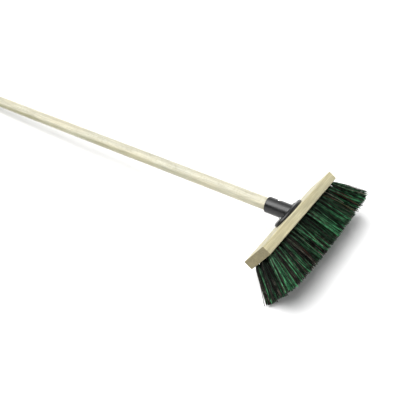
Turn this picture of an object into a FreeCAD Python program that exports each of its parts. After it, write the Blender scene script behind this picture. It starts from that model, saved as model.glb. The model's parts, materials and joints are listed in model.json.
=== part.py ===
import FreeCAD, Part
import math
import os

os.makedirs("parts", exist_ok=True)

# A push broom lying as it is put down: the far end of its handle and the tips of its lowest
# bristle row touch the floor. Lengths are millimetres, angles degrees.
#
# Head frame, in which the pieces are drawn: X along the block, +Y across it towards the side
# that the handle leans to, +Z out of the block's top face, origin at the middle of that face.
# lay_down() then turns the finished pieces into the lying frame: X along the block, +Y from the
# head to the handle's far end, +Z up, origin below the middle of the whole broom, on the floor.

Vector = FreeCAD.Vector
Rotation = FreeCAD.Rotation
Placement = FreeCAD.Placement

# --- block -----------------------------------------------------------------------------------
block_length = 280.0
block_width = 75.0
block_thickness = 21.0
block_top_round = 2.5
block_bottom_round = 3.5
block_end_round = 0.8

# --- bristle tufts ---------------------------------------------------------------------------
row_count = 5
row_pitch = 13.0
tuft_pitch = 13.0
tufts_in_long_row = 21
tuft_length = 80.0
tuft_tip_radius = 5.7
tuft_inner_radius = 2.8
end_flare = 28.0
end_flare_power = 2.4
outer_row_lean = 8.7

# --- tuft holes and anchor strips ------------------------------------------------------------
hole_radius = 3.3
hole_depth = 13.0
anchor_width = 7.4
anchor_height = 2.0
anchor_thickness = 0.5
tuft_end_gap = 0.1

# --- handle ----------------------------------------------------------------------------------
handle_lean = 33.5
handle_axis_offset = -7.0
handle_radius = 14.0
handle_length = 1400.0
handle_far_round = 9.0
spigot_start = 13.0
spigot_end_radius = 13.1

# --- handle socket ---------------------------------------------------------------------------
socket_mouth = 54.0
socket_outer_radius = 17.5
socket_bore_gap = 0.1
socket_floor_gap = 0.5
socket_mouth_round = 1.2
flange_length = 91.0
flange_width = 54.0
flange_end_radius = 17.0
flange_centre_y = -2.0
flange_height = 7.0
flange_rim_round = 3.6
flange_foot_round = 0.4
tube_foot_fillet = 2.0

# --- screws ----------------------------------------------------------------------------------
screw_shank_radius = 1.95
screw_hole_radius = 2.0
screw_head_radius = 4.0
screw_head_height = 2.4
screw_dome_share = 0.75
screw_point_length = 3.0
screw_point_radius = 0.2
screw_recess_radius = 4.4
cross_slot_length = 4.2
cross_slot_width = 0.9
cross_slot_depth = 1.1
flange_screw_length = 13.5
flange_screw_x = 27.0
flange_screw_y = -4.0
handle_screw_length = 16.0
handle_screw_station = 31.5
handle_screw_turn = 28.0
handle_screw_seat = 15.6

# --- working values --------------------------------------------------------------------------
overcut = 1.0
tolerance = 1e-6


def handle_placement():
    """From a frame with Z along the handle to the head frame."""
    return Placement(Vector(0, handle_axis_offset, 0), Rotation(Vector(1, 0, 0), -handle_lean))


def placed_copy(shape, placement):
    moved = shape.copy()
    moved.Placement = placement.multiply(shape.Placement)
    return moved


def on_handle_axis(shape):
    return placed_copy(shape, handle_placement())


def lengthwise_edges(bar, height):
    """The edges along X that lie at the given height."""
    return [
        edge for edge in bar.Edges
        if edge.BoundBox.XLength > block_length / 2
        and edge.BoundBox.ZLength < tolerance
        and abs(edge.BoundBox.ZMin - height) < tolerance
    ]


def end_edges(bar):
    """The edges that lie wholly in one of the block's two end planes."""
    return [
        edge for edge in bar.Edges
        if edge.BoundBox.XLength < tolerance
        and abs(abs(edge.BoundBox.XMin) - block_length / 2) < tolerance
    ]


# --- tufts -----------------------------------------------------------------------------------
def tuft_seats():
    """One list per row of (mouth centre, rotation from straight down) for its tufts."""
    rows = []
    half_span = (tufts_in_long_row - 1) * tuft_pitch / 2
    for row in range(row_count):
        place = row - (row_count - 1) / 2
        staggered = row % 2
        count = tufts_in_long_row - staggered
        lean = outer_row_lean * place / ((row_count - 1) / 2)
        seats = []
        for index in range(count):
            x = (index - (count - 1) / 2) * tuft_pitch
            share = x / half_span
            flare = math.copysign(end_flare * abs(share) ** end_flare_power, x)
            run = Vector(math.tan(math.radians(flare)), math.tan(math.radians(lean)), -1)
            mouth = Vector(x, place * row_pitch, -block_thickness)
            seats.append((mouth, Rotation(Vector(0, 0, -1), run)))
        rows.append(seats)
    return rows


def seated(shape, seat):
    mouth, turn = seat
    return placed_copy(shape, Placement(mouth, turn))


def make_tuft():
    """One bundle of fibres, from its fold in the hole to its tip, along -Z from the hole's mouth."""
    fold = hole_depth - anchor_height - tuft_end_gap
    return Part.makeCone(
        tuft_inner_radius, tuft_tip_radius, fold + tuft_length, Vector(0, 0, fold), Vector(0, 0, -1)
    )


def make_anchor():
    """The flat steel strip that is punched across the hole to hold a tuft by its fold."""
    corner = Vector(-anchor_width / 2, -anchor_thickness / 2, hole_depth - anchor_height)
    return Part.makeBox(anchor_width, anchor_thickness, anchor_height, corner)


def make_hole():
    """The drilled hole of one tuft; it starts a little outside the block."""
    start = -block_bottom_round
    return Part.makeCylinder(hole_radius, hole_depth - start, Vector(0, 0, start))


# --- block -----------------------------------------------------------------------------------
def make_block_blank():
    """The rounded bar, before drilling."""
    corner = Vector(-block_length / 2, -block_width / 2, -block_thickness)
    bar = Part.makeBox(block_length, block_width, block_thickness, corner)
    bar = bar.makeFillet(block_top_round, lengthwise_edges(bar, 0.0))
    bar = bar.makeFillet(block_bottom_round, lengthwise_edges(bar, -block_thickness))
    return bar.makeFillet(block_end_round, end_edges(bar))


def make_block(rows):
    cutters = []
    for seats in rows:
        for seat in seats:
            cutters.append(seated(make_hole(), seat))
            cutters.append(seated(make_anchor(), seat))
    for screw in flange_screw_placements():
        cutters.append(screw_bore(screw, flange_screw_length))
    return make_block_blank().cut(cutters)


# --- handle ----------------------------------------------------------------------------------
def make_handle():
    """A round bar with a tapered spigot at the socket end and a rounded far end."""
    far = spigot_start + handle_length
    shoulder = Vector(handle_radius, 0, far - handle_far_round)
    crown = Vector(handle_radius - handle_far_round, 0, far)
    bend = handle_far_round * math.sqrt(0.5)
    middle = Vector(handle_radius - handle_far_round + bend, 0, far - handle_far_round + bend)
    points = [
        Vector(0, 0, spigot_start),
        Vector(spigot_end_radius, 0, spigot_start),
        Vector(handle_radius, 0, socket_mouth),
        shoulder,
    ]
    edges = [Part.LineSegment(a, b).toShape() for a, b in zip(points, points[1:])]
    edges.append(Part.Arc(shoulder, middle, crown).toShape())
    edges.append(Part.LineSegment(crown, Vector(0, 0, far)).toShape())
    edges.append(Part.LineSegment(Vector(0, 0, far), points[0]).toShape())
    bar = Part.Face(Part.Wire(edges)).revolve(Vector(0, 0, 0), Vector(0, 0, 1), 360)
    return on_handle_axis(bar).cut(screw_bore(handle_screw_placement(), handle_screw_length))


# --- handle socket ---------------------------------------------------------------------------
def flange_outline():
    """The flange's oval of four tangent arcs, two round the ends and two along the sides."""
    half_length = flange_length / 2
    half_width = flange_width / 2
    end_centre = half_length - flange_end_radius
    side_radius = (end_centre ** 2 + half_width ** 2 - flange_end_radius ** 2) / (
        2 * (half_width - flange_end_radius)
    )
    side_centre = side_radius - half_width
    share = side_radius / (side_radius - flange_end_radius)
    join_x = end_centre * share
    join_y = side_centre * (share - 1)
    y = flange_centre_y
    near_low = Vector(-join_x, y - join_y, 0)
    far_low = Vector(join_x, y - join_y, 0)
    far_high = Vector(join_x, y + join_y, 0)
    near_high = Vector(-join_x, y + join_y, 0)
    return Part.Wire(
        [
            Part.Arc(near_low, Vector(0, y - half_width, 0), far_low).toShape(),
            Part.Arc(far_low, Vector(half_length, y, 0), far_high).toShape(),
            Part.Arc(far_high, Vector(0, y + half_width, 0), near_high).toShape(),
            Part.Arc(near_high, Vector(-half_length, y, 0), near_low).toShape(),
        ]
    )


def edges_at_height(solid, height):
    return [
        edge for edge in solid.Edges
        if edge.BoundBox.ZLength < tolerance and abs(edge.BoundBox.ZMin - height) < tolerance
    ]


def make_flange():
    """The oval foot plate, with a well rounded upper rim and a slightly broken lower one."""
    plate = Part.Face(flange_outline()).extrude(Vector(0, 0, flange_height))
    plate = plate.makeFillet(flange_rim_round, edges_at_height(plate, flange_height))
    return plate.makeFillet(flange_foot_round, edges_at_height(plate, 0.0))


def make_socket_tube():
    """The tube's outside, from the block's face to its rounded mouth."""
    barrel = Part.makeCylinder(socket_outer_radius, socket_mouth + socket_outer_radius,
                               Vector(0, 0, -socket_outer_radius))
    barrel = barrel.makeFillet(socket_mouth_round, edges_at_height(barrel, socket_mouth))
    tube = on_handle_axis(barrel)
    reach = 4 * socket_outer_radius
    above = Part.makeBox(2 * reach, 2 * reach, 2 * reach, Vector(-reach, -reach, 0))
    return tube.common(above)


def foot_edges(body):
    """The oval edge where the tube meets the flat top of the flange."""
    widest = socket_outer_radius + tolerance
    return [
        edge for edge in edges_at_height(body, flange_height)
        if edge.BoundBox.XMax < widest and edge.BoundBox.XMin > -widest
    ]


def make_socket_bore():
    """The tapered hole that takes the handle's spigot."""
    taper = (handle_radius - spigot_end_radius) / (socket_mouth - spigot_start)
    floor = spigot_start - socket_floor_gap
    floor_radius = spigot_end_radius + socket_bore_gap - taper * socket_floor_gap
    mouth_radius = handle_radius + socket_bore_gap + taper * overcut
    return on_handle_axis(
        Part.makeCone(floor_radius, mouth_radius, socket_mouth + overcut - floor, Vector(0, 0, floor))
    )


def make_socket():
    body = make_flange().fuse(make_socket_tube()).removeSplitter()
    body = body.makeFillet(tube_foot_fillet, foot_edges(body))
    cutters = [make_socket_bore()]
    for screw in flange_screw_placements():
        cutters.append(screw_bore(screw, flange_screw_length))
    cutters.append(screw_bore(handle_screw_placement(), handle_screw_length))
    cutters.append(screw_recess(handle_screw_placement()))
    return body.cut(cutters).removeSplitter()


# --- screws ----------------------------------------------------------------------------------
def flange_screw_placements():
    """The seats of the two flange screws; each screw points along -Z of its placement."""
    return [
        Placement(Vector(side * flange_screw_x, flange_screw_y, flange_height), Rotation())
        for side in (-1, 1)
    ]


def handle_screw_placement():
    """The seat of the screw that crosses the socket's wall into the handle."""
    outward = Placement(Vector(0, 0, handle_screw_station), Rotation(Vector(1, 0, 0), 90))
    turn = Placement(Vector(0, 0, 0), Rotation(Vector(0, 0, 1), handle_screw_turn))
    lift = Placement(Vector(0, 0, handle_screw_seat), Rotation())
    return handle_placement().multiply(turn).multiply(outward).multiply(lift)


def screw_bore(seat, length):
    """A straight hole for a screw's shank, from the seat inwards."""
    bore = Part.makeCylinder(screw_hole_radius, length + overcut, Vector(0, 0, -length))
    bore.Placement = seat
    return bore


def screw_recess(seat):
    """The flat-bottomed pocket in which a screw's head sits."""
    pocket = Part.makeCylinder(screw_recess_radius, 3 * screw_head_height)
    pocket.Placement = seat
    return pocket


def make_screw(seat, length):
    """A pan-head screw with a cross slot, its head's underside on the seat."""
    domed = screw_dome_share * screw_head_height
    head = Part.makeCylinder(screw_head_radius, screw_head_height)
    head = head.makeFillet(domed, edges_at_height(head, screw_head_height))
    shank = Part.makeCylinder(screw_shank_radius, length - screw_point_length,
                              Vector(0, 0, screw_point_length - length))
    point = Part.makeCone(screw_point_radius, screw_shank_radius, screw_point_length, Vector(0, 0, -length))
    slots = []
    for sides in ((cross_slot_length, cross_slot_width), (cross_slot_width, cross_slot_length)):
        corner = Vector(-sides[0] / 2, -sides[1] / 2, screw_head_height - cross_slot_depth)
        slots.append(Part.makeBox(sides[0], sides[1], cross_slot_depth + overcut, corner))
    screw = head.fuse([shank, point]).cut(slots).removeSplitter()
    screw.Placement = seat
    return screw


# --- the lying frame -------------------------------------------------------------------------
def lay_down(nodes):
    """Turn every piece so that tuft tips and handle end rest on the floor, and centre the broom."""
    lean = math.radians(handle_lean)
    row_lean = math.radians(outer_row_lean)
    fibre = Vector(0, math.sin(row_lean), -math.cos(row_lean))
    towards_floor = Vector(0, math.cos(row_lean), math.sin(row_lean))
    mouth = Vector(0, row_pitch * (row_count - 1) / 2, -block_thickness)
    tip_contact = mouth + fibre * tuft_length + towards_floor * tuft_tip_radius
    far_side = spigot_start + handle_length - handle_far_round
    along = Vector(0, math.sin(lean), math.cos(lean))
    across = Vector(0, math.cos(lean), -math.sin(lean))
    end_contact = Vector(0, handle_axis_offset, 0) + along * far_side + across * handle_radius
    floor_line = end_contact - tip_contact
    angle = math.degrees(math.atan2(floor_line.z, floor_line.y))
    turn = Placement(Vector(0, 0, 0), Rotation(Vector(1, 0, 0), -angle))
    floor = turn.multVec(tip_contact).z
    boxes = [placed_copy(shape, turn).optimalBoundingBox(False, False) for shape in nodes.values()]
    middle = (min(box.YMin for box in boxes) + max(box.YMax for box in boxes)) / 2
    lying = Placement(Vector(0, -middle, -floor), Rotation()).multiply(turn)
    print("lying: head turned %.4f deg, origin shift y %.3f z %.3f" % (-angle, -middle, -floor))
    return {name: placed_copy(shape, lying) for name, shape in nodes.items()}


def build():
    rows = tuft_seats()
    nodes = {
        "handle": make_handle(),
        "handle_socket": make_socket(),
        "handle_screw": make_screw(handle_screw_placement(), handle_screw_length),
        "flange_screws": Part.makeCompound(
            [make_screw(seat, flange_screw_length) for seat in flange_screw_placements()]
        ),
        "block": make_block(rows),
    }
    for number, seats in enumerate(rows, start=1):
        tufts = [seated(make_tuft(), seat) for seat in seats]
        anchors = [seated(make_anchor(), seat) for seat in seats]
        nodes["tuft_row_%d" % number] = Part.makeCompound(tufts)
        nodes["anchor_row_%d" % number] = Part.makeCompound(anchors)
    return lay_down(nodes)


for name, shape in build().items():
    shape.exportStep("parts/%s.step" % name)
    print("%-16s solids %3d  valid %s" % (name, len(shape.Solids), shape.isValid()))
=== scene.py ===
import json
import math

import bpy
import numpy as np
from mathutils import Matrix, Vector


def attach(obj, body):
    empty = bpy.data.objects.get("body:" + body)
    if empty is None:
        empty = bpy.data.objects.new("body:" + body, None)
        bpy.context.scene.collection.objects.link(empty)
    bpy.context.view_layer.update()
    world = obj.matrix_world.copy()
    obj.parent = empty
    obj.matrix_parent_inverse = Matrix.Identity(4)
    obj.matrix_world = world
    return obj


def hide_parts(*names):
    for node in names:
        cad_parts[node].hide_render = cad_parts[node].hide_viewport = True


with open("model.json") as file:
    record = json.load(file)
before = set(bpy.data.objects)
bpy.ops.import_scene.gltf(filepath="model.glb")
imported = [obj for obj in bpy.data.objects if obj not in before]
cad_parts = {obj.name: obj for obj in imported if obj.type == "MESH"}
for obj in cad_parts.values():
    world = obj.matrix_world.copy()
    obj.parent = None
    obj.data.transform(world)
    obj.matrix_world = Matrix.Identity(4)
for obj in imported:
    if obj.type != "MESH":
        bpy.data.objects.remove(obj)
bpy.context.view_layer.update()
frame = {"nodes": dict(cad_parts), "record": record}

# Lengths are metres, and angles given as plain numbers are degrees. The head frame is the one the
# broom is drawn in: X along the block, Y across it towards the side the handle leans to, Z out of
# the block's top face, origin in the middle of that face.

SEED = 41
MM = 0.001

# --- head frame, from the record's mounts -----------------------------------------------------
mounts = {mount["name"]: mount for mount in frame["record"]["mounts"]}
shank = mounts["handle_shank"]
top_face = mounts["block_top_face"]
handle_axis = Vector(shank["axis"]).normalized()
handle_radius = shank["dims"]["r_mm"] * MM
handle_exposed = shank["dims"]["length_mm"] * MM
handle_mouth = Vector(shank["pos_m"]) - handle_axis * handle_exposed / 2
head_z = Vector(top_face["axis"]).normalized()
head_x = Vector((1.0, 0.0, 0.0))
head_y = head_z.cross(head_x)
head_origin = Vector((0.0, top_face["pos_m"][1], top_face["pos_m"][2]))


def placed(origin, x, y, z):
    """The matrix of a frame with these axes at origin."""
    return Matrix.Translation(origin) @ Matrix((x, y, z)).transposed().to_4x4()


head_matrix = placed(head_origin, head_x, head_y, head_z)
handle_matrix = placed(handle_mouth, head_x, handle_axis.cross(head_x), handle_axis)

# --- sizes shared with the design -------------------------------------------------------------
block_width = 75 * MM
block_thickness = 21 * MM
row_count = 5
row_pitch = 13 * MM
tuft_pitch = 13 * MM
tufts_in_long_row = 21
tuft_length = 80 * MM
end_flare = 28.0
end_flare_power = 2.4
outer_row_lean = 8.7
spigot_length = 41 * MM
spigot_inset = 0.9 * MM
handle_far_round = 9 * MM

middle_row = (row_count - 1) / 2
half_span = (tufts_in_long_row - 1) * tuft_pitch / 2


# --- small helpers ----------------------------------------------------------------------------
def add_object(name, data):
    made = bpy.data.objects.new(name, data)
    bpy.context.scene.collection.objects.link(made)
    return made


def mesh_from_lists(name, points, faces):
    mesh = bpy.data.meshes.new(name)
    mesh.from_pydata(points, [], faces)
    mesh.update()
    mesh.shade_smooth()
    return mesh


def scaled(colour, factor):
    return tuple(factor * channel for channel in colour)


class Nodes:
    """A short way to write a node tree: values are sockets, numbers or tuples."""

    def __init__(self, tree):
        self.tree = tree

    def node(self, kind, **settings):
        made = self.tree.nodes.new(kind)
        for key, value in settings.items():
            setattr(made, key, value)
        return made

    def put(self, socket, value):
        if isinstance(value, bpy.types.NodeSocket):
            self.tree.links.new(value, socket)
        else:
            socket.default_value = value

    def coordinate(self, kind):
        return self.node("ShaderNodeTexCoord").outputs[kind]

    def math(self, operation, a, b=0.0, clamp=False):
        made = self.node("ShaderNodeMath", operation=operation, use_clamp=clamp)
        self.put(made.inputs[0], a)
        self.put(made.inputs[1], b)
        return made.outputs[0]

    def plus(self, a, b):
        return self.math("ADD", a, b)

    def minus(self, a, b):
        return self.math("SUBTRACT", a, b)

    def times(self, a, b, clamp=False):
        return self.math("MULTIPLY", a, b, clamp)

    def dot(self, a, b):
        made = self.node("ShaderNodeVectorMath", operation="DOT_PRODUCT")
        self.put(made.inputs[0], a)
        self.put(made.inputs[1], tuple(b))
        return made.outputs["Value"]

    def frame_point(self, matrix):
        """The shaded point in the frame of matrix, as three separate values."""
        shifted = self.node("ShaderNodeVectorMath", operation="SUBTRACT")
        self.put(shifted.inputs[0], self.coordinate("Object"))
        self.put(shifted.inputs[1], tuple(matrix.to_translation()))
        return [self.dot(shifted.outputs[0], matrix.col[column].xyz) for column in range(3)]

    def vector(self, x, y, z):
        made = self.node("ShaderNodeCombineXYZ")
        for socket, value in zip(made.inputs, (x, y, z)):
            self.put(socket, value)
        return made.outputs[0]

    def noise(self, place, scale, detail=4.0, roughness=0.55, distortion=0.0):
        made = self.node("ShaderNodeTexNoise")
        self.put(made.inputs["Vector"], place)
        made.inputs["Scale"].default_value = scale
        made.inputs["Detail"].default_value = detail
        made.inputs["Roughness"].default_value = roughness
        made.inputs["Distortion"].default_value = distortion
        return made.outputs["Fac"]

    def ramp(self, value, *stops):
        """A grey that follows stops, which are pairs of a position and a brightness."""
        made = self.node("ShaderNodeValToRGB")
        points = made.color_ramp.elements
        while len(points) < len(stops):
            points.new(0.5)
        for point, (position, grey) in zip(points, stops):
            point.position = position
            point.color = (grey, grey, grey, 1.0)
        self.put(made.inputs["Fac"], value)
        return made.outputs["Color"]

    def mix(self, share, a, b, blend="MIX"):
        made = self.node("ShaderNodeMix", data_type="RGBA", blend_type=blend)
        self.put(made.inputs["Factor"], share)
        for name, value in (("A", a), ("B", b)):
            self.put(made.inputs[name], (*value, 1.0) if isinstance(value, tuple) else value)
        return made.outputs["Result"]

    def tint(self, share, colour, factors):
        """The colour, multiplied by factors where share is 1."""
        return self.mix(share, colour, self.mix(1.0, colour, factors, "MULTIPLY"))

    def remap(self, value, low, high, to_low=0.0, to_high=1.0):
        made = self.node("ShaderNodeMapRange")
        self.put(made.inputs["Value"], value)
        made.inputs["From Min"].default_value = low
        made.inputs["From Max"].default_value = high
        made.inputs["To Min"].default_value = to_low
        made.inputs["To Max"].default_value = to_high
        return made.outputs["Result"]


class Shader(Nodes):
    """A new material and its node tree."""

    def __init__(self, name):
        self.material = bpy.data.materials.new(name)
        self.material.use_nodes = True
        super().__init__(self.material.node_tree)
        self.principled = self.tree.nodes["Principled BSDF"]

    def bump(self, height, strength, distance):
        made = self.node("ShaderNodeBump")
        self.put(made.inputs["Height"], height)
        made.inputs["Strength"].default_value = strength
        made.inputs["Distance"].default_value = distance
        self.put(self.principled.inputs["Normal"], made.outputs["Normal"])

    def set(self, **values):
        for key, value in values.items():
            self.put(self.principled.inputs[key.replace("_", " ")], value)


# The part of a noise's range that most of its values lie in.
noise_band = (0.3, 0.7)

# --- wood -------------------------------------------------------------------------------------
rings_per_metre = 330.0
ring_wander = 0.9
pith_wobble = 30 * MM
early_shade = 0.78
late_wood_share = 0.60
pore_share = 0.45
pore_shade = 0.55
warm_tint = (0.98, 0.90, 0.78)
warm_share = 0.55
wood_roughness = (0.34, 0.52)
wood_relief = 0.2 * MM
# Broad figure in the grain: noise scale, stretch along the fibres and depth of the shading.
FIGURE_LAYERS = ((150.0, 0.10, 0.12), (420.0, 0.06, 0.16), (90.0, 0.05, 0.08))
figure_lift = 0.6
heart_tint = (0.50, 0.50, 0.34)
heart_edge = (1.02, 1.14)
heart_wave = 0.30
# Painted highlight along the block's long edges: its tint, and its share on the upper edges.
edge_highlight_tint = (1.45, 1.45, 1.5)
upper_edge_highlight_share = 0.3


def wood(name, matrix, long_axis, pith, light, dark, end_tint, arris=None, heart=None):
    """Solid sawn wood: growth rings about a far pith line, fibres, pores and darker end faces,
    partly end grain and partly painted shade.

    matrix is the frame the grain follows, long_axis the number of its axis along the fibres and
    pith the place of the rings' centre on the other two axes. arris is the block's width and
    thickness, for a painted highlight along its long edges. heart is the radius of a round stick
    that has a band of olive heartwood down its -X side.
    """
    s = Shader(name)
    parts = s.frame_point(matrix)
    along = parts[long_axis]
    across = [parts[index] for index in range(3) if index != long_axis]

    def grain(stretch, scale, detail, **settings):
        """Noise that follows the fibres: the smaller stretch is, the longer it is drawn out."""
        return s.noise(s.vector(s.times(along, stretch), *across), scale, detail, **settings)

    wobble = s.times(s.minus(grain(3.0, 6.0, 3.0), 0.5), pith_wobble)
    first, second = [s.plus(s.minus(place, centre), wobble) for place, centre in zip(across, pith)]
    distance = s.math("SQRT", s.plus(s.times(first, first), s.times(second, second)))
    wander = s.times(grain(5.0, 60.0, 2.0), ring_wander)
    ring = s.math("FRACT", s.plus(s.times(distance, rings_per_metre), wander))
    late_wood = s.ramp(ring, (0.0, 0.0), (0.62, 0.12), (0.90, 1.0), (1.0, 0.0))
    fibre = grain(0.035, 1500.0, 5.0, roughness=0.65)
    pores = s.ramp(grain(0.10, 2600.0, 2.0, roughness=0.4), (0.60, 0.0), (0.70, 1.0))
    patches = grain(0.35, 26.0, 3.0)

    colour = s.mix(s.remap(fibre, 0.35, 0.65), light, scaled(light, early_shade))
    colour = s.mix(s.times(late_wood, late_wood_share), colour, dark)
    colour = s.mix(s.times(pores, pore_share), colour, scaled(dark, pore_shade))
    warm = tuple(channel * factor for channel, factor in zip(light, warm_tint))
    colour = s.mix(s.remap(patches, 0.35, 0.70, 0.0, warm_share), colour, warm)
    for scale, stretch, depth in FIGURE_LAYERS:
        figure = grain(stretch, scale, 2.0)
        shade = s.remap(figure, 0.32, 0.68, 1.0 - depth, 1.0 + depth * figure_lift)
        colour = s.mix(1.0, colour, s.vector(shade, shade, shade), "MULTIPLY")
    if heart:
        wave = s.noise(s.vector(s.times(along, 4.0), 0.0, 0.0), 1.0, 3.0)
        side = s.plus(s.times(across[0], -1.0 / heart), s.times(wave, heart_wave))
        fading = s.remap(along, 0.05, 0.80, 0.30, 1.0)
        colour = s.tint(s.times(s.remap(side, *heart_edge), fading), colour, heart_tint)
    # Painted highlight: the block's long edges are made paler, most of all the lower ones.
    if arris:
        half_width, half_depth = arris[0] / 2, arris[1] / 2
        off_middle = s.math("ABSOLUTE", across[0])
        beside = s.remap(off_middle, half_width - 1.8 * MM, half_width - 0.4 * MM)
        off_centre = s.math("ABSOLUTE", s.plus(across[1], half_depth))
        either = s.remap(off_centre, half_depth - 2.2 * MM, half_depth - 0.6 * MM)
        below = s.times(across[1], -1.0)
        lower = s.remap(below, arris[1] - 3.5 * MM, arris[1] - 1.0 * MM)
        painted_edge_highlight = s.times(beside, s.math("MAXIMUM", s.times(either, upper_edge_highlight_share), lower))
        colour = s.tint(painted_edge_highlight, colour, edge_highlight_tint)

    # End faces are tinted darker: this is end grain, and on the block it is partly painted shade.
    facing = s.math("ABSOLUTE", s.dot(s.coordinate("Normal"), matrix.col[long_axis].xyz))
    colour = s.tint(s.remap(facing, 0.75, 0.95), colour, end_tint)

    s.set(Base_Color=colour, Roughness=s.remap(fibre, *noise_band, *wood_roughness),
          Specular_IOR_Level=0.5)
    relief = s.minus(s.times(fibre, 0.6), s.times(pores, 0.7))
    s.bump(s.plus(relief, s.times(late_wood, 0.35)), strength=0.35, distance=wood_relief)
    return s.material


# --- plastic and steel ------------------------------------------------------------------------
plastic_black = (0.004, 0.004, 0.004)
plastic_scuffed = (0.024, 0.024, 0.024)
plastic_roughness = (0.26, 0.40)
plastic_relief = 0.12 * MM
scuff_share = 0.25
scuff_roughness = 0.10
zinc_roughness = (0.22, 0.42)
zinc_relief = 0.08 * MM
tarnish_share = 0.6


def moulded_plastic():
    """Black satin plastic with a fine moulded grain, handling sheen and a few paler scuffs."""
    s = Shader("socket_plastic")
    place = s.coordinate("Object")
    grain = s.noise(place, 2200.0, 3.0, 0.6)
    handling = s.noise(place, 55.0, 4.0, 0.6)
    scuff = s.ramp(s.noise(place, 240.0, 5.0, 0.7, distortion=1.2), (0.58, 0.0), (0.68, 1.0))
    sheen = s.remap(handling, *noise_band, *plastic_roughness)
    s.set(Base_Color=s.mix(s.times(scuff, scuff_share), plastic_black, plastic_scuffed),
          Roughness=s.plus(sheen, s.times(scuff, scuff_roughness)), Specular_IOR_Level=0.5)
    s.bump(grain, strength=0.20, distance=plastic_relief)
    return s.material


def zinc_steel(name, bright, tarnished):
    s = Shader(name)
    place = s.coordinate("Object")
    spangle = s.noise(place, 900.0, 3.0, 0.6)
    tarnish = s.remap(s.noise(place, 260.0, 4.0, 0.6), 0.4, 0.7, 0.0, tarnish_share)
    s.set(Base_Color=s.mix(tarnish, bright, tarnished),
          Roughness=s.remap(spangle, *noise_band, *zinc_roughness), Metallic=1.0)
    s.bump(spangle, strength=0.15, distance=zinc_relief)
    return s.material


# --- fibres -----------------------------------------------------------------------------------
# For each kind: radius, how far a tip strays sideways, the spread in length as a share of it, the
# sides of its tube, how rare pale strands are, and the looks of its material.
FIBRE_KINDS = {
    "green": {"radius": 0.66 * MM, "stray": 2.2 * MM, "short": 0.034, "sides": 6, "rarity": 1.0,
              "dull": (0.0012, 0.011, 0.0045), "bright": (0.080, 0.335, 0.142),
              "root_painted_shade": (1.2, 0.42, 0.70), "roughness": 0.38, "gloss": 0.12},
    "black": {"radius": 0.54 * MM, "stray": 3.0 * MM, "short": 0.036, "sides": 5, "rarity": 5.0,
              "dull": (0.002, 0.002, 0.0015), "bright": (0.215, 0.195, 0.155),
              "root_painted_shade": (0.8, 0.8, 0.8), "roughness": 0.42, "gloss": 0.07},
    "brown": {"radius": 0.50 * MM, "stray": 3.2 * MM, "short": 0.040, "sides": 5, "rarity": 0.7,
              "dull": (0.030, 0.010, 0.006), "bright": (0.15, 0.050, 0.026),
              "root_painted_shade": (0.6, 0.6, 0.6), "roughness": 0.48, "gloss": 0.08},
}
fibre_relief = 0.1 * MM
fibre_thickness_spread = (0.8, 1.15)
# Painted light on the tips of all fibres: its tint, and its share at the very tip.
painted_tip_light = (1.7, 1.7, 1.7)
painted_tip_light_share = 0.8

# The shape of a tuft: its fibres leave the hole together, fan out and gather in locks.
fibres_per_tuft = 30
root_depth = 10 * MM
root_spread = 3.0 * MM
tip_spread = 8.0 * MM
fan_power = 0.45
flare_noise = 1.6
widening_power = 0.8
locks_per_tuft = 9
lock_scatter = 0.55
lock_tightness = 0.55
wiggle_share = 0.25
wiggle_turn = 5.0
extra_length = 0.020
path_points = 10
floor_gap = 0.6 * MM
floor_softness = 1.5 * MM

# The first and last tuft of a row lean back in, and are fuller and looser.
corner_gather = 0.45
corner_filling = 2.2
corner_looseness = 0.4

# How the kinds and the brightness of the strands vary.
green_share = 0.33
# More green fibres towards the far end: painted light, which makes that end of the bristles look
# brighter.
painted_light_green_slope = 0.08
green_share_noise = 0.05
green_share_limits = (0.05, 0.7)
brown_chances = (0.6, 0.35)
tone_floor = 0.25
tone_rise = 1.1
tone_power = 1.5


def fibre_material(kind):
    """Fibre colour varies from strand to strand and in fine streaks.

    Along each strand, painted shade darkens the roots and painted light brightens the tips.
    """
    looks = FIBRE_KINDS[kind]
    s = Shader(kind + "_fibre")
    tone = s.node("ShaderNodeAttribute", attribute_name="tone").outputs["Fac"]
    along = s.node("ShaderNodeAttribute", attribute_name="along").outputs["Fac"]
    place = s.coordinate("Object")
    streaks = s.noise(place, 700.0, 3.0, 0.6)
    flecks = s.remap(s.noise(place, 110.0, 3.0, 0.6), 0.40, 0.60, 0.30, 1.15)
    colour = s.mix(s.times(tone, flecks, clamp=True), looks["dull"], looks["bright"])
    # Painted shade darkens the roots (and greys the green), and painted light brightens the tips.
    colour = s.tint(s.remap(along, 0.0, 0.55, 0.75, 0.0), colour, looks["root_painted_shade"])
    colour = s.tint(s.remap(along, 0.50, 1.0, 0.0, painted_tip_light_share), colour, painted_tip_light)
    colour = s.mix(s.remap(streaks, 0.40, 0.65, 0.0, 0.6), colour, scaled(looks["dull"], 0.5))
    roughness = (looks["roughness"] - 0.07, looks["roughness"] + 0.10)
    s.set(Base_Color=colour, Roughness=s.remap(streaks, *noise_band, *roughness),
          Specular_IOR_Level=looks["gloss"])
    s.bump(streaks, strength=0.25, distance=fibre_relief)
    return s.material


def slope(angle):
    return math.tan(math.radians(angle))


def flare_at(distance):
    """How far a tuft this far from the block's middle flares towards the end."""
    return end_flare * (distance / half_span) ** end_flare_power


def tuft_seats():
    """The mouth and run of every tuft, row by row, in the head frame."""
    rows = []
    for row in range(row_count):
        place = row - middle_row
        count = tufts_in_long_row - row % 2
        lean = outer_row_lean * place / middle_row
        seats = []
        for index in range(count):
            x = (index - (count - 1) / 2) * tuft_pitch
            flare = math.copysign(flare_at(abs(x)), x)
            run = Vector((slope(flare), slope(lean), -1)).normalized()
            seats.append((Vector((x, place * row_pitch, -block_thickness)), run))
        rows.append(seats)
    return rows


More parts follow.
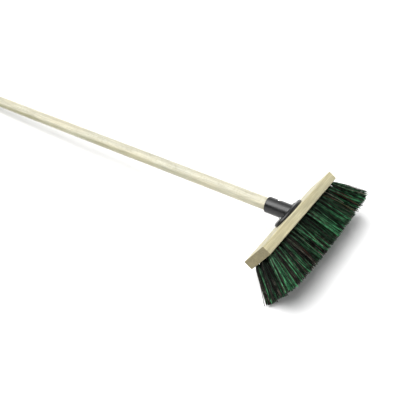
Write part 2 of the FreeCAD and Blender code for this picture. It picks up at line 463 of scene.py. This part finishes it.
def tip_widening(mouth):
    """How much further apart the tips are than the holes, along and across the block, at a tuft."""
    inner, outer = [max(abs(mouth.x) + step, 0) for step in (-tuft_pitch / 2, tuft_pitch / 2)]
    along = tuft_length * (slope(flare_at(outer)) - slope(flare_at(inner))) / tuft_pitch
    across = tuft_length * slope(outer_row_lean) / middle_row / row_pitch
    return 1 + along, 1 + across


def fibre_paths(mouth, run, kind, count, locks, tightness, widening, rng):
    """Paths of count fibres of one tuft as an array (fibre, point, xyz), and each fibre's lock.

    mouth and run are in the head frame and the paths in the model's. Every fibre belongs to one
    of the tuft's locks, towards which its tip is drawn.
    """
    style = FIBRE_KINDS[kind]
    side = Vector((0, 1, 0)).cross(run).normalized()
    rise = run.cross(side)
    angle = rng.uniform(0, 2 * math.pi, count)
    reach = np.sqrt(rng.uniform(0, 1, count))
    member = rng.integers(0, len(locks), count)
    bend = rng.normal(0, style["stray"], (count, 2))
    wiggle = rng.normal(0, style["stray"] * wiggle_share, (count, 2))
    phase = rng.uniform(0, 2 * math.pi, count)
    length = tuft_length * (1 - np.abs(rng.normal(0, style["short"], count)) + extra_length)
    step = np.linspace(0, 1, path_points)[None, :]
    down = -root_depth + step * (length[:, None] + root_depth)
    out = np.clip(down / tuft_length, 0, None)
    own = np.stack([np.cos(angle) * reach, np.sin(angle) * reach], axis=1)
    tip = own * (1 - tightness) + locks[member] * tightness
    curl = np.sin(out * wiggle_turn + phase[:, None]) - np.sin(phase[:, None])
    offsets = []
    for axis in range(2):
        start = own[:, axis:axis + 1] * root_spread
        finish = tip[:, axis:axis + 1] * tip_spread * widening[axis]
        fanned = start + (finish - start) * out ** fan_power
        offsets.append(fanned + bend[:, axis:axis + 1] * out ** 2 + wiggle[:, axis:axis + 1] * curl)
    u, v = offsets
    local = (np.array(mouth)[None, None, :] + down[:, :, None] * np.array(run)
             + u[:, :, None] * np.array(side) + v[:, :, None] * np.array(rise))
    paths = local @ np.array(head_matrix.to_3x3()).T + np.array(head_origin)
    lowest = floor_gap + style["radius"]
    height = paths[:, :, 2] - lowest
    paths[:, :, 2] = lowest + np.logaddexp(0, height / floor_softness) * floor_softness
    return paths, member


def tube_mesh(name, paths, radius, tone, sides):
    """One mesh of closed round tubes along the given paths."""
    count, points = paths.shape[0], paths.shape[1]
    tangent = np.gradient(paths, axis=1)
    tangent /= np.linalg.norm(tangent, axis=2, keepdims=True)
    first = np.cross(tangent, np.array(head_x))
    first /= np.linalg.norm(first, axis=2, keepdims=True)
    second = np.cross(tangent, first)
    turn = np.arange(sides) * 2 * math.pi / sides
    ring = (first[:, :, None, :] * np.cos(turn)[None, None, :, None]
            + second[:, :, None, :] * np.sin(turn)[None, None, :, None])
    vertices = (paths[:, :, None, :] + ring * radius[:, None, None, None]).reshape(-1, 3)

    corners = np.arange(sides)
    tube_start = np.arange(count) * points * sides
    level = tube_start[:, None, None] + (np.arange(points - 1) * sides)[None, :, None]
    here = level + corners[None, None, :]
    beside = level + (corners[None, None, :] + 1) % sides
    walls = np.stack([here, beside, beside + sides, here + sides], axis=-1).reshape(-1, 4)
    root_caps = tube_start[:, None] + corners[None, ::-1]
    tip_caps = tube_start[:, None] + (points - 1) * sides + corners[None, :]
    loops = np.concatenate([walls.ravel(), root_caps.ravel(), tip_caps.ravel()])
    sizes = np.concatenate([np.full(len(walls), 4), np.full(2 * count, sides)])
    starts = np.concatenate([[0], np.cumsum(sizes)[:-1]])

    mesh = bpy.data.meshes.new(name)
    mesh.vertices.add(len(vertices))
    mesh.vertices.foreach_set("co", vertices.astype(np.float32).ravel())
    mesh.loops.add(len(loops))
    mesh.loops.foreach_set("vertex_index", loops.astype(np.int32))
    mesh.polygons.add(len(sizes))
    mesh.polygons.foreach_set("loop_start", starts.astype(np.int32))
    mesh.update(calc_edges=True)
    mesh.validate()
    mesh.shade_smooth()
    strand_tone = np.repeat(tone, points * sides)
    strand_along = np.tile(np.repeat(np.linspace(0, 1, points), sides), count)
    for label, values in (("tone", strand_tone), ("along", strand_along)):
        attribute = mesh.attributes.new(label, "FLOAT", "POINT")
        attribute.data.foreach_set("value", values.astype(np.float32))
    return mesh


def tuft_fibres(seats, index, rng):
    """Yield the kind, the paths and the tones of each kind of fibre in one tuft."""
    mouth, run = seats[index]
    inward = 1 if index == 0 else -1 if index == len(seats) - 1 else 0
    run = run.lerp(seats[index + inward][1], corner_gather * abs(inward)).normalized()
    locks = rng.normal(0, lock_scatter, (locks_per_tuft, 2))
    tightness = lock_tightness * (corner_looseness if inward else 1.0)
    lock_tone = rng.uniform(0, 1, locks_per_tuft)
    widening = tip_widening(mouth)
    turned = (run + head_x * slope(rng.normal(0, flare_noise))).normalized()
    # The green share rises towards the far end as painted light.
    share = rng.normal(green_share + painted_light_green_slope * mouth.x / half_span, green_share_noise)
    filling = widening[0] ** widening_power * (corner_filling if inward else 1.0)
    total = int(round(fibres_per_tuft * filling))
    green = int(round(total * np.clip(share, *green_share_limits)))
    brown = sum(int(rng.random() < chance) for chance in brown_chances)
    counts = {"green": green, "brown": brown, "black": total - green - brown}
    for kind, count in counts.items():
        if count == 0:
            continue
        paths, member = fibre_paths(mouth, turned, kind, count, locks, tightness, widening, rng)
        strand = rng.uniform(0, 1, count) ** FIBRE_KINDS[kind]["rarity"]
        lock_level = tone_floor + tone_rise * lock_tone[member] ** tone_power
        yield kind, paths, np.clip(lock_level * strand, 0, 1)


def make_bristles():
    """One mesh of fibres for each kind in each row, in place of the row's solid tufts."""
    rng = np.random.default_rng(SEED)
    materials = {kind: fibre_material(kind) for kind in FIBRE_KINDS}
    for number, seats in enumerate(tuft_seats(), start=1):
        gathered = {kind: [] for kind in FIBRE_KINDS}
        for index in range(len(seats)):
            for kind, paths, tone in tuft_fibres(seats, index, rng):
                gathered[kind].append((paths, tone))
        for kind, parts in gathered.items():
            paths = np.concatenate([part[0] for part in parts])
            tone = np.concatenate([part[1] for part in parts])
            style = FIBRE_KINDS[kind]
            radius = style["radius"] * rng.uniform(*fibre_thickness_spread, len(paths))
            name = "%s_fibres_row_%d" % (kind, number)
            piece = add_object(name, tube_mesh(name, paths, radius, tone, style["sides"]))
            piece.data.materials.append(materials[kind])
            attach(piece, "root")
            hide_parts("tuft_row_%d" % number)


# --- handle -----------------------------------------------------------------------------------
handle_segments = 72
handle_rings = 200
far_end_rings = 10
# The stick's unevenness: depth, lobes around it and turns along it in radians per metre.
HANDLE_WAVES = ((0.05 * MM, 2, 9.0), (0.03 * MM, 3, -14.0))


def make_handle(material):
    """A turned stick, a hair out of round, from its spigot in the socket to its rounded far end."""
    phases = np.random.default_rng(SEED + 1).uniform(0, 2 * math.pi, len(HANDLE_WAVES))
    deepest = sum(depth for depth, lobes, twist in HANDLE_WAVES)
    profile = [(-spigot_length, handle_radius - spigot_inset)]
    profile += [(place, handle_radius) for place in np.linspace(0, handle_exposed, handle_rings)]
    for turn in np.linspace(0, math.pi / 2, far_end_rings)[1:]:
        profile.append((handle_exposed + handle_far_round * math.sin(turn),
                        handle_radius - handle_far_round * (1 - math.cos(turn))))
    rise = handle_axis.cross(head_x)
    points = []
    for place, radius in profile:
        for index in range(handle_segments):
            turn = 2 * math.pi * index / handle_segments
            uneven = sum(depth * math.sin(lobes * turn + phase + twist * place)
                         for (depth, lobes, twist), phase in zip(HANDLE_WAVES, phases))
            reach = radius + (uneven - deepest if place > 0 else 0.0)
            outward = head_x * math.cos(turn) + rise * math.sin(turn)
            points.append(handle_mouth + handle_axis * place + outward * reach)
    faces = []
    for ring in range(len(profile) - 1):
        here, following = ring * handle_segments, (ring + 1) * handle_segments
        for index in range(handle_segments):
            beside = (index + 1) % handle_segments
            faces.append((here + index, here + beside, following + beside, following + index))
    last = (len(profile) - 1) * handle_segments
    faces.append(tuple(range(handle_segments))[::-1])
    faces.append(tuple(range(last, last + handle_segments)))
    piece = add_object("handle_stick", mesh_from_lists("handle_stick", points, faces))
    piece.data.materials.append(material)
    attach(piece, "root")
    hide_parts("handle")


# --- camera -----------------------------------------------------------------------------------
camera_azimuth = math.radians(-54.9)
camera_elevation = math.radians(40.5)
camera_distance = 1.292
camera_lens = 56.5
camera_sensor = 36.0
head_right_of_middle = 0.1826
head_below_middle = 0.0301


def make_camera():
    back = Vector((math.sin(camera_azimuth) * math.cos(camera_elevation),
                   -math.cos(camera_azimuth) * math.cos(camera_elevation),
                   math.sin(camera_elevation)))
    right = Vector((0, 0, 1)).cross(back).normalized()
    up = back.cross(right)
    data = bpy.data.cameras.new("camera")
    data.lens = camera_lens
    data.sensor_width = camera_sensor
    camera = add_object("camera", data)
    aim = head_origin - right * head_right_of_middle + up * head_below_middle
    camera.matrix_world = placed(aim + back * camera_distance, right, up, back)
    bpy.context.scene.camera = camera


# --- light and floor --------------------------------------------------------------------------
# Distant soft lights: the direction towards each, its width and its power.
SOFT_LIGHTS = {
    "key_softbox": {"direction": (-0.36, 0.24, 0.90), "spread": 54.0, "power": 4.5},
    "side_panel": {"direction": (0.62, -0.55, 0.55), "spread": 34.0, "power": 0.4},
    "back_panel": {"direction": (0.88, 0.40, 0.25), "spread": 44.0, "power": 0.5},
    "high_panel": {"direction": (0.32, 0.46, 0.83), "spread": 30.0, "power": 0.4},
}
# The room: pale walls that fade to a dim ceiling between two heights, and one dark doorway that
# fades in from its outer to its inner half width.
wall_strength = 0.80
ceiling_strength = 0.15
wall_fade = (14.0, 24.0)
doorway_direction = (-0.78, 0.48, 0.34)
doorway_outer = 30.0
doorway_inner = 19.0
doorway_level = 0.03
floor_reach = 12.0
floor_grey = (0.90, 0.90, 0.90, 1.0)
floor_roughness = (0.85, 0.95)


def make_soft_light(name, direction, spread, power):
    data = bpy.data.lights.new(name, "SUN")
    data.angle = math.radians(spread)
    data.energy = power
    lamp = add_object(name, data)
    lamp.matrix_world = Vector(direction).to_track_quat("Z", "Y").to_matrix().to_4x4()


def make_world():
    world = bpy.data.worlds.new("studio")
    world.use_nodes = True
    w = Nodes(world.node_tree)
    direction = w.coordinate("Generated")
    apart = w.node("ShaderNodeSeparateXYZ")
    w.put(apart.inputs["Vector"], direction)
    fade = [math.sin(math.radians(angle)) for angle in wall_fade]
    wall = w.remap(apart.outputs["Z"], *fade, wall_strength, ceiling_strength)
    rim = [math.cos(math.radians(angle)) for angle in (doorway_outer, doorway_inner)]
    towards = w.dot(direction, Vector(doorway_direction).normalized())
    lit = w.remap(towards, *rim, 1.0, doorway_level)
    background = w.tree.nodes["Background"]
    w.put(background.inputs["Color"], (1.0, 1.0, 1.0, 1.0))
    w.put(background.inputs["Strength"], w.times(wall, lit))
    bpy.context.scene.world = world


def make_floor():
    corners = [(-floor_reach, -floor_reach, 0), (floor_reach, -floor_reach, 0),
               (floor_reach, floor_reach, 0), (-floor_reach, floor_reach, 0)]
    floor = add_object("floor", mesh_from_lists("floor", corners, [(0, 1, 2, 3)]))
    s = Shader("floor_paper")
    tooth = s.noise(s.coordinate("Object"), 800.0, 3.0)
    s.set(Base_Color=floor_grey, Roughness=s.remap(tooth, *noise_band, *floor_roughness))
    floor.data.materials.append(s.material)


def make_studio():
    make_floor()
    make_world()
    for name, light in SOFT_LIGHTS.items():
        make_soft_light(name, **light)
    bpy.context.scene.view_settings.view_transform = "Standard"


# --- assembly ---------------------------------------------------------------------------------
def dress(node, material):
    mesh = frame["nodes"][node].data
    mesh.materials.clear()
    mesh.materials.append(material)


make_camera()
make_studio()

make_handle(wood("handle_wood", handle_matrix, long_axis=2, pith=(0.035, 0.06),
                 light=(0.56, 0.55, 0.445), dark=(0.36, 0.34, 0.22),
                 end_tint=(0.75, 0.70, 0.62), heart=handle_radius))
# The block's end_tint is darker than end grain alone: it is partly painted shade on its end faces.
dress("block", wood("block_wood", head_matrix, long_axis=0, pith=(0.03, -0.09),
                    light=(0.50, 0.465, 0.297), dark=(0.29, 0.255, 0.15),
                    end_tint=(0.43, 0.40, 0.30), arris=(block_width, block_thickness)))
dress("handle_socket", moulded_plastic())
dress("handle_screw", zinc_steel("bright_zinc", (0.90, 0.90, 0.88), (0.70, 0.69, 0.66)))
dress("flange_screws", zinc_steel("dull_zinc", (0.34, 0.34, 0.33), (0.20, 0.20, 0.19)))
anchor_steel = zinc_steel("anchor_steel", (0.72, 0.72, 0.70), (0.45, 0.44, 0.42))
for number in range(1, row_count + 1):
    dress("anchor_row_%d" % number, anchor_steel)
make_bristles()
